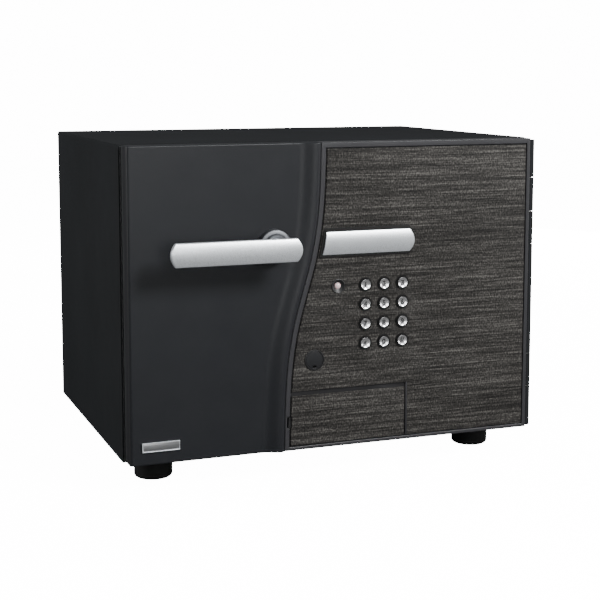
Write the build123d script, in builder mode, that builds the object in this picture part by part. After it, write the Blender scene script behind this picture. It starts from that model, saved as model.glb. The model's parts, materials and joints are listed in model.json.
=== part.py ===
"""Compact keypad fire safe: cabinet, hinged door, lever boltwork and keypad lock.

Millimetres. +Z is up and the door faces -Y. The origin lies on the floor, under the
middle of the whole object. The door is shut and its bolts are drawn back.
"""

import math
import os

from build123d import *

# ---------------------------------------------------------------- driving dimensions

# Cabinet
body_width = 483.0
body_height = 340.0
body_depth = 339.0
foot_height = 31.0
sheet = 1.5
wall_thickness = 45.0
back_thickness = 50.0
corner_radius = 2.5

# Door slab and the plug on its back
door_thickness = 29.3
door_gap = 1.5
door_side_gap = 2.0
door_bottom_gap = 2.6
plug_gap = 5.0
door_insulation_depth = 14.0
inner_panel_thickness = 2.0

# Flowing edge between the handle panel and the control panel
edge_left = 172.6
panel_bow = 1.8
panel_hollow = 0.6
edge_drift = 43.7
edge_middle = 178.0
edge_softness = 37.0
ridge_height = 5.3
ridge_width = 20.0
ridge_roll = 3.0
panel_seam = 0.6
panel_wall = 2.5

# Frame of the control panel and its wood-grain sheet
frame_strip = 7.0
frame_side = 4.4
frame_top = 6.0
frame_bottom = 5.2
recess_depth = 2.5
groove = 1.2
wood_thickness = 2.0

# Lever and its shaft
lever_reach = 72.0
lever_shaft_x = 161.5
lever_drop = 110.0
lever_length = 142.3
lever_overhang = 17.6
lever_width = 25.2
lever_thickness = 11.0
lever_end_bulge = 5.0
lever_crown = 1.4
shaft_radius = 6.0
neck_radius = 8.0
rosette_radius = 18.4
rosette_depth = 12.0
rosette_step = 3.0
rosette_collar = 5.4
rosette_rounding = 1.2
bushing_wall = 3.0
bushing_flange = 1.2
shaft_socket = 5.0
running_clearance = 0.08

# Boltwork
bolt_radius = 9.0
bolt_length = 42.0
bolt_throw_angle = 45.0
crank_radius = 22.0
crank_pin_radius = 3.0
crank_thickness = 4.0
slot_clearance = 0.3
lower_bolt_rise = 100.0
bolt_room = 2.0
bolt_chamfer = 1.5
bolt_screw_radius = 3.0
bolt_screw_length = 10.0
bolt_screw_head = 4.0
plate_thickness = 2.0
carriage_thickness = 4.0
carriage_edge = 5.0
guide_cover = 0.8
crank_gap = 1.0
plunger_radius = 2.5
plunger_play = 0.5
plunger_offset = 23.0
plunger_length = 34.0
plunger_gap = 1.5
notch_depth_in_web = 6.0
solenoid_gap = 18.0
solenoid_length = 45.0
solenoid_half_width = 13.0
solenoid_plate = 3.0
coil_radius = 8.0
strike_clearance = 1.5
strike_pocket_depth = 26.0
dog_radius = 5.5
dog_shoulder = 2.5
dog_reach = 2.0
dog_length = 8.0
dog_clearance = 4.5

# Keypad, lamp and key lock
key_pitch_x = 22.4
key_pitch_z = 21.75
key_column_offset = 74.0
key_gap_below = 42.25
key_gap_above = 27.1
key_radius = 6.85
key_ring_wall = 1.15
key_proud = 1.5
key_travel = 1.2
key_clearance = 0.1
key_flange = 1.6
dish_radius = 16.0
dish_depth = 1.2
collar_proud = 0.4
keypad_offset = 22.0
lamp_offset = 41.6
lamp_dome = 2.2
lamp_radius = 3.7
cap_offset = 31.0
cap_height = 101.7
cap_radius = 9.9
cap_ring_radius = 11.7
lock_tube_radius = 11.0
dome_height = 0.3
dome_clearance = 0.1
mat_margin = 11.0
board_margin = 16.0
board_left_margin = 12.0
pillar_inset = 3.0
pillar_radius = 1.8
lock_plug_radius = 6.0
cap_thickness = 2.4
cap_skirt = 5.6
cap_wall = 1.6
cap_sink = 0.2
keyway_width = 1.4
keyway_height = 7.0
keyway_depth = 10.0

# Grip trim, battery door and nameplate
trim_end = 326.3
trim_offset = 12.0
trim_proud = 4.2
trim_rounding = 0.8
battery_right = 317.5
battery_top = 63.2
battery_gap = 3.6
battery_door_thickness = 2.6
battery_radius = 7.1
battery_length = 50.0
battery_clearance = 1.4
holder_floor = 1.6
holder_rim = 1.9
holder_head = 3.7
pivot_pin_radius = 1.0
pivot_pin_length = 2.0
notch_rise = 34.0
notch_height = 12.0
notch_depth = 1.5
bay_rise = 4.0
bay_drop = 2.0
plate_left = 14.2
plate_width = 41.0
plate_height = 10.2
plate_rise = 17.0
plate_proud = 2.4
plate_sink = 0.55
plate_rounding = 1.0

# Hinge on the right-hand edge
hinge_setback = 0.2
hinge_depth = 20.0
knuckle_radius = 4.6
knuckle_length = 38.0
knuckle_gap = 1.0
upper_knuckle_drop = 65.0
lower_knuckle_rise = 69.0
hinge_pin_radius = 2.2
pin_clearance = 0.05
leaf_thickness = 2.0
leaf_offset = 1.0
pin_overhang = 20.0

# Feet, tray and fixings
foot_radius = 22.0
foot_inset = 44.5
foot_taper = 4
foot_rounding = 8.0
foot_socket_radius = 6.0
foot_socket_depth = 14.0
foot_screw_bite = 10.0
foot_screw_hole = 12.0
screw_radius = 2.0
screw_head_radius = 3.8
screw_head_height = 1.6
screw_inset = 10.0
standoff_radius = 5.0
tray_drop = 62.0
tray_height = 26.0
tray_wall = 2.0
tray_side_gap = 3.0
tray_rounding = 8.0
tray_front_gap = 12.0
tray_back_gap = 14.0
rail_width = 9.0
rail_thickness = 2.0
rail_height = 12.0
seal_width = 10.0
seal_inset = 4.0
seal_thickness = 1.2

# ---------------------------------------------------------------- shared planes and edges

left = -body_width / 2
right = body_width / 2
base = foot_height
top = base + body_height
front = lever_reach - (body_depth + lever_reach) / 2
back = front + body_depth

face = front - door_thickness
panel_depth = (recess_depth - wood_thickness + battery_door_thickness
               + battery_clearance + 2 * battery_radius + holder_floor)
panel_back = face + panel_depth
door_back = front - door_gap
door_left = left + door_side_gap
hinge_inset = knuckle_radius + hinge_setback
door_right = right - hinge_inset - knuckle_radius - 0.5
door_bottom = base + door_bottom_gap
recess_floor = face + recess_depth
wood_face = recess_floor - wood_thickness
panel_face = face + panel_bow

opening_left = left + wall_thickness
opening_right = right - wall_thickness
opening_bottom = base + wall_thickness
opening_top = top - wall_thickness
plug_depth = door_insulation_depth + plate_thickness + 2 * bolt_radius + 2 * bolt_room
plug_left = opening_left + plug_gap
plug_right = opening_right - plug_gap
plug_bottom = opening_bottom + plug_gap
plug_top = opening_top - plug_gap
plug_back = front + plug_depth
cavity_back = back - back_thickness
frame_depth = plug_depth + inner_panel_thickness + 3.0

rosette_back = panel_face + 0.25
shaft_x = left + lever_shaft_x
shaft_z = top - lever_drop
hinge_x = right - hinge_inset
hinge_y = front - hinge_depth

plate_front = front + door_insulation_depth
plate_back = plate_front + plate_thickness
bolt_y = plate_back + bolt_radius + bolt_room
crank_swing = math.radians(bolt_throw_angle / 2)
crank_offset_x = crank_radius * math.sin(crank_swing)
crank_offset_z = crank_radius * math.cos(crank_swing)
bolt_travel = 2 * crank_offset_x
bolt_tip = plug_left + 1.0
bolt_heights = (base + lower_bolt_rise, shaft_z)
flange_x = bolt_tip + bolt_length
web_bottom = shaft_z + 10.0
web_top = shaft_z + 32.0

battery_bottom = door_bottom + frame_bottom
seat_gap = 0.3


def edge_x(z):
    """The flowing edge: x at height z, a single smooth step from top to bottom."""
    step = 1 / (1 + math.exp(-(z - base - edge_middle) / edge_softness))
    return left + edge_left + edge_drift * step


def at_y(y):
    """Upright plane at y, facing the front: sketch x is x and sketch y is z."""
    return Plane.XZ.offset(-y)


def block(x, y, z, mode=Mode.ADD):
    """Rectangular block between pairs of limits."""
    with Locations(((x[0] + x[1]) / 2, (y[0] + y[1]) / 2, (z[0] + z[1]) / 2)):
        Box(x[1] - x[0], y[1] - y[0], z[1] - z[0], mode=mode)


def bar_y(x, z, y, radius, mode=Mode.ADD):
    """Round bar from front to back, between the two y limits."""
    with Locations((x, (y[0] + y[1]) / 2, z)):
        Cylinder(radius, y[1] - y[0], rotation=(90, 0, 0), mode=mode)


def bar_x(y, z, x, radius, mode=Mode.ADD):
    """Round bar from side to side, between the two x limits."""
    with Locations(((x[0] + x[1]) / 2, y, z)):
        Cylinder(radius, x[1] - x[0], rotation=(0, 90, 0), mode=mode)


def bar_z(x, y, z, radius, mode=Mode.ADD):
    """Upright round bar between the two z limits."""
    with Locations((x, y, (z[0] + z[1]) / 2)):
        Cylinder(radius, z[1] - z[0], mode=mode)


def flow_outline(left_offset, x_end, z_low, z_high):
    """Outline bounded on the left by the flowing edge, moved right by left_offset."""
    steps = 10
    heights = [z_low + (z_high - z_low) * i / steps for i in range(steps + 1)]
    Spline(*[(edge_x(z) + left_offset, z) for z in heights])
    Polyline((edge_x(z_high) + left_offset, z_high), (x_end, z_high), (x_end, z_low),
             (edge_x(z_low) + left_offset, z_low))


def save(part, name):
    """Label a finished piece and write it under its own name."""
    part.label = name
    export_step(part, f"parts/{name}.step")


os.makedirs("parts", exist_ok=True)

# ---------------------------------------------------------------- cabinet

# Folded sheet over the top and both sides
with BuildPart() as outer_wrap:
    block((left, right), (front, back), (base, top))
    fillet(outer_wrap.edges().filter_by(Axis.Y).group_by(Axis.Z)[-1], corner_radius)
    block((left + sheet, right - sheet), (front, back), (base, top - sheet), Mode.SUBTRACT)
save(outer_wrap.part, "outer_wrap")

# Back sheet, inside the wrap
with BuildPart() as back_panel:
    block((left + sheet, right - sheet), (back - sheet, back), (base, top - sheet))
save(back_panel.part, "back_panel")

foot_centres = [(x, y) for x in (left + foot_inset, right - foot_inset)
                for y in (front + foot_inset, back - foot_inset)]

# Floor sheet with a screw hole over each foot
with BuildPart() as base_plate:
    block((left + sheet, right - sheet), (front, back - sheet), (base, base + sheet))
    for x, y in foot_centres:
        bar_z(x, y, (base, base + sheet), screw_radius, Mode.SUBTRACT)
save(base_plate.part, "base_plate")

# Steel face frame with the throat that the door's plug enters
with BuildPart() as front_frame:
    block((left + sheet, right - sheet), (front, front + sheet), (base + sheet, top - sheet))
    block((opening_left - sheet, opening_right + sheet), (front + sheet, front + frame_depth),
          (opening_bottom - sheet, opening_top + sheet))
    block((opening_left, opening_right), (front, front + frame_depth),
          (opening_bottom, opening_top), Mode.SUBTRACT)
    for z in bolt_heights:
        bar_x(bolt_y, z, (opening_left - sheet, opening_left),
              bolt_radius + strike_clearance, Mode.SUBTRACT)
        bar_x(bolt_y, z, (opening_right, opening_right + sheet),
              dog_radius + dog_clearance, Mode.SUBTRACT)
save(front_frame.part, "front_frame")

# Five-sided lining of the storage space
with BuildPart() as inner_liner:
    block((opening_left - sheet, opening_right + sheet),
          (front + frame_depth, cavity_back + sheet),
          (opening_bottom - sheet, opening_top + sheet))
    block((opening_left, opening_right), (front + frame_depth, cavity_back),
          (opening_bottom, opening_top), Mode.SUBTRACT)
save(inner_liner.part, "inner_liner")

# Cast insulation between the outer sheets and the lining
with BuildPart() as cabinet_insulation:
    block((left + sheet, right - sheet), (front + sheet, back - sheet),
          (base + sheet, top - sheet))
    block((opening_left - sheet, opening_right + sheet), (front + sheet, cavity_back + sheet),
          (opening_bottom - sheet, opening_top + sheet), Mode.SUBTRACT)
    pocket_end = opening_left - strike_pocket_depth
    for z in bolt_heights:
        bar_x(bolt_y, z, (pocket_end, opening_left), bolt_radius + strike_clearance,
              Mode.SUBTRACT)
        bar_x(bolt_y, z, (opening_right, opening_right + dog_length),
              dog_radius + dog_clearance, Mode.SUBTRACT)
    for x, y in foot_centres:
        bar_z(x, y, (base + sheet, base + sheet + foot_screw_hole), screw_radius,
              Mode.SUBTRACT)
save(cabinet_insulation.part, "cabinet_insulation")

# Rubber feet, tapered and rounded below
with BuildPart() as feet:
    for x, y in foot_centres:
        with BuildSketch(Plane.XY.offset(base)):
            with Locations((x, y)):
                Circle(foot_radius)
        extrude(amount=-foot_height, taper=foot_taper)
    fillet(feet.edges().filter_by(GeomType.CIRCLE).group_by(Axis.Z)[0], foot_rounding)
    for x, y in foot_centres:
        bar_z(x, y, (0, foot_socket_depth), foot_socket_radius, Mode.SUBTRACT)
        bar_z(x, y, (foot_socket_depth, base), screw_radius, Mode.SUBTRACT)
save(feet.part, "feet")

# Screws that hold the feet, heads sunk in their undersides
with BuildPart() as foot_screws:
    for x, y in foot_centres:
        bar_z(x, y, (foot_socket_depth - 3.0, foot_socket_depth), foot_socket_radius - 1.0)
        bar_z(x, y, (foot_socket_depth, base + sheet + foot_screw_bite), screw_radius)
save(foot_screws.part, "foot_screws")

upper_knuckle = (top - upper_knuckle_drop - knuckle_length / 2,
                 top - upper_knuckle_drop + knuckle_length / 2)
lower_knuckle = (base + lower_knuckle_rise - knuckle_length / 2,
                 base + lower_knuckle_rise + knuckle_length / 2)

# Hinge knuckles of the cabinet, each on a leaf that meets the face frame
with BuildPart() as cabinet_hinges:
    for low, high in (upper_knuckle, lower_knuckle):
        bar_z(hinge_x, hinge_y, (low, high), knuckle_radius)
        block((hinge_x + leaf_offset, hinge_x + leaf_offset + leaf_thickness),
              (hinge_y, front), (low, high))
    for low, high in (upper_knuckle, lower_knuckle):
        bar_z(hinge_x, hinge_y, (low, high), hinge_pin_radius, Mode.SUBTRACT)
save(cabinet_hinges.part, "cabinet_hinges")

# Hinge pins, pressed into the cabinet's knuckles
with BuildPart() as hinge_pins:
    for low, high in (upper_knuckle, lower_knuckle):
        bar_z(hinge_x, hinge_y, (low - pin_overhang, high + pin_overhang), hinge_pin_radius)
save(hinge_pins.part, "hinge_pins")

rail_top = opening_top - tray_drop
tray_front = front + frame_depth + tray_front_gap
tray_back = cavity_back - tray_back_gap

# Ledges on the lining that carry the tray
with BuildPart() as tray_rails:
    for low, high in ((opening_left, opening_left + rail_width),
                      (opening_right - rail_width, opening_right)):
        block((low, high), (tray_front, tray_back), (rail_top - rail_thickness, rail_top))
    for low, high in ((opening_left, opening_left + rail_thickness),
                      (opening_right - rail_thickness, opening_right)):
        block((low, high), (tray_front, tray_back),
              (rail_top - rail_height, rail_top - rail_thickness))
save(tray_rails.part, "tray_rails")

# Open tray on the rails
with BuildPart() as tray:
    tray_left, tray_right = opening_left + tray_side_gap, opening_right - tray_side_gap
    block((tray_left, tray_right), (tray_front, tray_back), (rail_top, rail_top + tray_height))
    fillet(tray.edges().filter_by(Axis.Z), tray_rounding)
    block((tray_left + tray_wall, tray_right - tray_wall),
          (tray_front + tray_wall, tray_back - tray_wall),
          (rail_top + tray_wall, rail_top + tray_height), Mode.SUBTRACT)
save(tray.part, "tray")

# ---------------------------------------------------------------- door slab

skin_inset = 1.0
skin_left = door_left + skin_inset
skin_right = door_right - skin_inset
skin_bottom = door_bottom + skin_inset
skin_top = top - skin_inset

# Folded steel front of the slab, behind the two moulded panels
with BuildPart() as door_skin:
    block((skin_left, skin_right), (panel_back, door_back), (skin_bottom, skin_top))
    block((skin_left + sheet, skin_right - sheet), (panel_back + sheet, door_back),
          (skin_bottom + sheet, skin_top - sheet), Mode.SUBTRACT)
    bar_y(shaft_x, shaft_z, (panel_back, panel_back + sheet), shaft_radius + bushing_wall,
          Mode.SUBTRACT)
save(door_skin.part, "door_skin")

# Hat-shaped pan that closes the slab's back and forms the plug
with BuildPart() as door_box:
    block((skin_left + sheet, skin_right - sheet), (door_back - sheet, door_back),
          (skin_bottom + sheet, skin_top - sheet))
    block((plug_left, plug_right), (door_back - sheet, plug_back), (plug_bottom, plug_top))
    block((plug_left + sheet, plug_right - sheet), (door_back - sheet, plug_back),
          (plug_bottom + sheet, plug_top - sheet), Mode.SUBTRACT)
    for z in bolt_heights:
        bar_x(bolt_y, z, (plug_left, plug_left + sheet), bolt_radius + running_clearance,
              Mode.SUBTRACT)
        bar_x(bolt_y, z, (plug_right - sheet, plug_right), dog_radius, Mode.SUBTRACT)
save(door_box.part, "door_box")

# Insulation of the slab and the front half of the plug
with BuildPart() as door_insulation:
    block((skin_left + sheet, skin_right - sheet), (panel_back + sheet, door_back - sheet),
          (skin_bottom + sheet, skin_top - sheet))
    block((plug_left + sheet, plug_right - sheet), (door_back - sheet, plate_front),
          (plug_bottom + sheet, plug_top - sheet))
    bar_y(shaft_x, shaft_z, (panel_back + sheet, plate_front), shaft_radius + bushing_wall,
          Mode.SUBTRACT)
save(door_insulation.part, "door_insulation")

# Moulded cover over the boltwork
with BuildPart() as door_inner_panel:
    block((plug_left, plug_right), (plug_back, plug_back + inner_panel_thickness),
          (plug_bottom, plug_top))
    fillet(door_inner_panel.edges().filter_by(Axis.Y), 3.0)
    raised_inset, raised_height, raised_rounding = 25.0, 1.5, 6.0
    with BuildSketch(at_y(plug_back + inner_panel_thickness)):
        with Locations(((plug_left + plug_right) / 2, (plug_bottom + plug_top) / 2)):
            RectangleRounded(plug_right - plug_left - 2 * raised_inset,
                             plug_top - plug_bottom - 2 * raised_inset, raised_rounding)
    extrude(amount=-raised_height)
    screw_spots = [(x, z) for x in (plug_left + screw_inset, plug_right - screw_inset)
                   for z in (plug_bottom + screw_inset, plug_top - screw_inset)]
    for x, z in screw_spots:
        bar_y(x, z, (plug_back, plug_back + inner_panel_thickness), screw_radius,
              Mode.SUBTRACT)
save(door_inner_panel.part, "door_inner_panel")

# Screws through the inner cover into the boltwork plate's standoffs
with BuildPart() as inner_panel_screws:
    for x, z in screw_spots:
        bar_y(x, z, (plate_back, plug_back + inner_panel_thickness), screw_radius)
        bar_y(x, z, (plug_back + inner_panel_thickness,
                     plug_back + inner_panel_thickness + screw_head_height),
              screw_head_radius)
save(inner_panel_screws.part, "inner_panel_screws")

# Heat seal around the plug
with BuildPart() as door_seal:
    with BuildSketch(at_y(door_back)):
        with Locations((0, (base + top) / 2)):
            Rectangle(opening_right - opening_left + 2 * (seal_width + seal_inset),
                      opening_top - opening_bottom + 2 * (seal_width + seal_inset))
            Rectangle(opening_right - opening_left + 2 * seal_inset,
                      opening_top - opening_bottom + 2 * seal_inset, mode=Mode.SUBTRACT)
    extrude(amount=-seal_thickness)
save(door_seal.part, "door_seal")

# Fixed bars on the hinge side, which enter the face frame
dog_base = (plug_right - sheet - 14.0, plug_right - sheet)
with BuildPart() as door_dogs:
    for z in bolt_heights:
        bar_x(bolt_y, z, (dog_base[0], opening_right + dog_reach), dog_radius)
        bar_x(bolt_y, z, dog_base, dog_radius + dog_shoulder)
        block(dog_base, (plate_back, bolt_y), (z - dog_radius, z + dog_radius))
save(door_dogs.part, "door_dogs")

# Door's half of the hinge: barrels joined to the slab by a shaped leaf
door_barrels = [(base + 3.0, lower_knuckle[0] - knuckle_gap),
                (lower_knuckle[1] + knuckle_gap, upper_knuckle[0] - knuckle_length - 1.0),
                (upper_knuckle[0] - knuckle_length, upper_knuckle[0] - knuckle_gap),
                (upper_knuckle[1] + knuckle_gap, top - 2.0)]
with BuildPart() as door_hinge_strip:
    for low, high in door_barrels:
        with BuildSketch(Plane.XY.offset(low)):
            with Locations((hinge_x, hinge_y)):
                Circle(knuckle_radius)
            with BuildLine():
                Polyline((skin_right, panel_back - 2.6), (door_right + 0.2, panel_back - 2.6),
                         (door_right + 0.9, hinge_y + 2.5), (hinge_x + 1.0, hinge_y + 3.5),
                         (skin_right + 3.0, panel_back + 3.0), (skin_right + 3.0, door_back),
                         (skin_right, door_back), close=True)
            make_face()
        extrude(amount=high - low)
    block((skin_right - 5.0, door_right), (face, panel_back), (base, top), Mode.SUBTRACT)
    for low, high in door_barrels:
        bar_z(hinge_x, hinge_y, (low, high), hinge_pin_radius + pin_clearance, Mode.SUBTRACT)
save(door_hinge_strip.part, "door_hinge_strip")

# ---------------------------------------------------------------- moulded front panels

ridge_top = panel_face - ridge_height
left_rounding = 3.0

# Handle panel: gently hollow, rising to a rolled ridge along the flowing edge
with BuildPart() as handle_panel:
    sections = 9
    for i in range(sections):
        z = door_bottom + (top - door_bottom) * i / (sections - 1)
        edge = edge_x(z)
        with BuildSketch(Plane.XY.offset(z)):
            with BuildLine():
                Line((edge, panel_back), (door_left, panel_back))
                Line((door_left, panel_back), (door_left, panel_face + 2.0))
                Spline((door_left, panel_face + 2.0),
                       (door_left + left_rounding, panel_face - panel_hollow),
                       tangents=((0, -1), (1, 0)))
                Line((door_left + left_rounding, panel_face - panel_hollow),
                     (edge - ridge_width, panel_face + panel_hollow))
                Spline((edge - ridge_width, panel_face + panel_hollow),
                       (edge - ridge_roll, ridge_top), tangents=((1, 0), (1, 0)))
                Spline((edge - ridge_roll, ridge_top), (edge, ridge_top + ridge_roll),
                       tangents=((1, 0), (0, 1)))
                Line((edge, ridge_top + ridge_roll), (edge, panel_back))
            make_face()
    loft(ruled=False)
    with BuildSketch(at_y(panel_back)):
        with BuildLine():
            heights = [door_bottom + panel_wall
                       + (top - door_bottom - 2 * panel_wall) * i / 10 for i in range(11)]
            Spline(*[(edge_x(z) - panel_wall, z) for z in heights])
            Polyline((edge_x(heights[-1]) - panel_wall, heights[-1]),
                     (door_left + panel_wall, heights[-1]),
                     (door_left + panel_wall, heights[0]),
                     (edge_x(heights[0]) - panel_wall, heights[0]))
        make_face()
    extrude(amount=panel_back - panel_face - panel_hollow - panel_wall, mode=Mode.SUBTRACT)
    bar_y(shaft_x, shaft_z, (face - ridge_height, panel_back), neck_radius, Mode.SUBTRACT)
    bar_y(shaft_x, shaft_z, (face - ridge_height, rosette_back),
          rosette_radius + running_clearance, Mode.SUBTRACT)
save(handle_panel.part, "handle_panel")

battery_left_gap = frame_strip + 0.8
battery_door_right = left + battery_right
battery_door_top = base + battery_top
bay_right = battery_door_right + battery_gap
bay_top = battery_door_top + battery_gap
trim_low = shaft_z - lever_width / 2
trim_high = shaft_z + lever_width / 2
trim_right = left + trim_end

key_ring_radius = key_radius + key_ring_wall
key_room = trim_low - bay_top - 3 * key_pitch_z - 2 * key_ring_radius
key_low = (bay_top + key_ring_radius
           + key_room * key_gap_below / (key_gap_below + key_gap_above))
keypad_x = left + edge_left + keypad_offset
key_columns = [keypad_x + key_column_offset + key_pitch_x * i for i in range(3)]
key_rows = [key_low + key_pitch_z * (3 - i) for i in range(4)]
key_names = ("1", "2", "3", "4", "5", "6", "7", "8", "9", "star", "0", "hash")
key_centres = [(x, z) for z in key_rows for x in key_columns]
lamp_x = keypad_x + lamp_offset
lamp_z = key_rows[0]
cap_x = edge_x(base + cap_height) + cap_offset
cap_z = base + cap_height

pivot_x = battery_door_right - battery_door_thickness / 2
pivot_y = wood_face + battery_door_thickness / 2
case_left = edge_x(battery_bottom) + battery_left_gap + 7.0
case_right = battery_door_right - 4.0

# Control panel: framed recess for the wood-grain sheet, with the battery bay
with BuildPart() as control_panel:
    with BuildSketch(at_y(panel_back)):
        with BuildLine():
            flow_outline(panel_seam, door_right, door_bottom, top)
        make_face()
    extrude(amount=panel_depth)
    with BuildSketch(at_y(panel_back)):
        with BuildLine():
            flow_outline(panel_seam + panel_wall, door_right - panel_wall,
                         door_bottom + panel_wall, top - panel_wall)
        make_face()
    extrude(amount=panel_depth - recess_depth - panel_wall, mode=Mode.SUBTRACT)
    with BuildSketch(at_y(face)):
        with BuildLine():
            flow_outline(frame_strip - groove, door_right - frame_side,
                         door_bottom + frame_bottom - groove, top - frame_top)
        make_face()
    extrude(amount=-recess_depth, mode=Mode.SUBTRACT)
    # Rebate behind the battery door, then the bay through the face
    with BuildSketch(at_y(recess_floor)):
        with BuildLine():
            flow_outline(battery_left_gap - 0.5, pivot_x + 2.0, battery_bottom - seat_gap,
                         battery_door_top + seat_gap)
        make_face()
    extrude(amount=-(battery_door_thickness - wood_thickness + seat_gap), mode=Mode.SUBTRACT)
    block((case_left, case_right), (face, panel_back - 1.0),
          (battery_bottom + bay_rise, battery_door_top - bay_drop), Mode.SUBTRACT)
    for x, z in key_centres:
        bar_y(x, z, (face, panel_back), key_radius + key_clearance, Mode.SUBTRACT)
    bar_y(lamp_x, lamp_z, (face, panel_back), lamp_radius, Mode.SUBTRACT)
    bar_y(cap_x, cap_z, (face, panel_back), lock_tube_radius, Mode.SUBTRACT)
    # Ears that hold the battery door's pivot pins
    for low, high in ((battery_bottom - 3.0, battery_bottom - seat_gap),
                      (battery_door_top + seat_gap, battery_door_top + battery_gap - 0.2)):
        block((pivot_x - 2.5, pivot_x + 3.0), (pivot_y - 1.6, recess_floor), (low, high))
        bar_z(pivot_x, pivot_y, (low, high), pivot_pin_radius + pin_clearance, Mode.SUBTRACT)
    # Relief behind the battery door's rounded edge
    bar_z(pivot_x, pivot_y, (battery_bottom - seat_gap, battery_door_top + seat_gap),
          battery_door_thickness / 2 + seat_gap, Mode.SUBTRACT)
save(control_panel.part, "control_panel")

# Wood-grain sheet, cut away around the battery door, keys, lamp and key lock
with BuildPart() as wood_inlay:
    with BuildSketch(at_y(recess_floor)):
        with BuildLine():
            flow_outline(battery_left_gap, door_right - frame_side - groove,
                         door_bottom + frame_bottom, top - frame_top - groove)
        make_face()
        with Locations(((bay_right + left) / 2, (bay_top + base) / 2)):
            Rectangle(bay_right - left, bay_top - base, mode=Mode.SUBTRACT)
        with Locations(*key_centres):
            Circle(key_ring_radius, mode=Mode.SUBTRACT)
        with Locations((lamp_x, lamp_z)):
            Circle(key_ring_radius, mode=Mode.SUBTRACT)
        with Locations((cap_x, cap_z)):
            Circle(cap_ring_radius, mode=Mode.SUBTRACT)
    extrude(amount=wood_thickness)
save(wood_inlay.part, "wood_inlay")

# Fixed grip trim, in line with the lever
with BuildPart() as grip_trim:
    with BuildSketch(at_y(wood_face)):
        with BuildLine():
            heights = [trim_low + lever_width * i / 3 for i in range(4)]
            Spline(*[(edge_x(z) + trim_offset, z) for z in heights])
            Line((edge_x(trim_high) + trim_offset, trim_high),
                 (trim_right - lever_end_bulge, trim_high))
            ThreePointArc((trim_right - lever_end_bulge, trim_high), (trim_right, shaft_z),
                          (trim_right - lever_end_bulge, trim_low))
            Line((trim_right - lever_end_bulge, trim_low),
                 (edge_x(trim_low) + trim_offset, trim_low))
        make_face()
    extrude(amount=trim_proud)
    fillet(grip_trim.faces().sort_by(Axis.Y)[0].edges(), trim_rounding)
save(grip_trim.part, "grip_trim")

# Blank nameplate on the handle panel
plate_x = left + plate_left
plate_z = base + plate_rise
with BuildPart() as nameplate:
    block((plate_x, plate_x + plate_width),
          (panel_face - plate_proud, panel_face - plate_sink), (plate_z, plate_z + plate_height))
    fillet(nameplate.edges().filter_by(Axis.Y), plate_rounding)
save(nameplate.part, "nameplate")

# ---------------------------------------------------------------- lever and boltwork

rosette_front = panel_face - rosette_depth

# Stepped ring around the lever's neck
with BuildPart() as rosette:
    bar_y(shaft_x, shaft_z, (rosette_front + rosette_step, rosette_back), rosette_radius)
    bar_y(shaft_x, shaft_z, (rosette_front, rosette_front + rosette_step),
          neck_radius + rosette_collar)
    fillet(rosette.edges().filter_by(GeomType.CIRCLE).group_by(Axis.Y)[0], rosette_rounding)
    bar_y(shaft_x, shaft_z, (rosette_front, rosette_back),
          neck_radius + running_clearance, Mode.SUBTRACT)
save(rosette.part, "rosette")

# Bronze bush through the slab
bush_front = panel_back - bushing_flange
with BuildPart() as lever_bushing:
    bar_y(shaft_x, shaft_z, (bush_front, plate_back), shaft_radius + bushing_wall)
    bar_y(shaft_x, shaft_z, (bush_front, panel_back), shaft_radius + 2 * bushing_wall)
    bar_y(shaft_x, shaft_z, (bush_front, plate_back), shaft_radius + running_clearance,
          Mode.SUBTRACT)
save(lever_bushing.part, "lever_bushing")

lever_front = front - lever_reach
lever_back = lever_front + lever_crown + lever_thickness
neck_end = rosette_back - 1.5
bar_right = shaft_x + lever_overhang
bar_left = bar_right - lever_length

# Lever: crowned bar with bowed ends, on a round neck
with BuildPart() as lever:
    with BuildSketch(at_y(lever_back)):
        with BuildLine():
            Line((bar_left + lever_end_bulge, shaft_z + lever_width / 2),
                 (bar_right - lever_end_bulge, shaft_z + lever_width / 2))
            ThreePointArc((bar_right - lever_end_bulge, shaft_z + lever_width / 2),
                          (bar_right, shaft_z),
                          (bar_right - lever_end_bulge, shaft_z - lever_width / 2))
            Line((bar_right - lever_end_bulge, shaft_z - lever_width / 2),
                 (bar_left + lever_end_bulge, shaft_z - lever_width / 2))
            ThreePointArc((bar_left + lever_end_bulge, shaft_z - lever_width / 2),
                          (bar_left, shaft_z),
                          (bar_left + lever_end_bulge, shaft_z + lever_width / 2))
        make_face()
    extrude(amount=lever_thickness + lever_crown)
    crown_radius = (lever_width ** 2 / 4 + lever_crown ** 2) / (2 * lever_crown)
    bar_x(lever_front + crown_radius, shaft_z, (bar_left - 1, bar_right + 1), crown_radius,
          Mode.INTERSECT)
    bar_y(shaft_x, shaft_z, (lever_back, neck_end), neck_radius)
    bar_y(shaft_x, shaft_z, (lever_back - shaft_socket, neck_end), shaft_radius,
          Mode.SUBTRACT)
save(lever.part, "lever")

crank_front = plate_back + crank_gap
crank_back = crank_front + crank_thickness
web_front = crank_back + crank_gap
web_back = web_front + carriage_thickness
crank_x = shaft_x + crank_offset_x
crank_z = shaft_z + crank_offset_z

# Lever shaft with its welded crank and crank pin
with BuildPart() as lever_shaft:
    bar_y(shaft_x, shaft_z, (lever_back - shaft_socket, crank_back), shaft_radius)
    with BuildSketch(at_y(crank_back)):
        with Locations(((shaft_x + crank_x) / 2, (shaft_z + crank_z) / 2)):
            SlotCenterToCenter(crank_radius, 2 * (shaft_radius + 1.0),
                               rotation=90 - math.degrees(crank_swing))
    extrude(amount=crank_thickness)
    bar_y(crank_x, crank_z, (crank_front, web_back + crank_gap), crank_pin_radius)
save(lever_shaft.part, "lever_shaft")

plunger_x = flange_x + carriage_thickness + plunger_offset
plunger_y = (web_front + web_back) / 2
notch_half = plunger_radius + plunger_play

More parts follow.
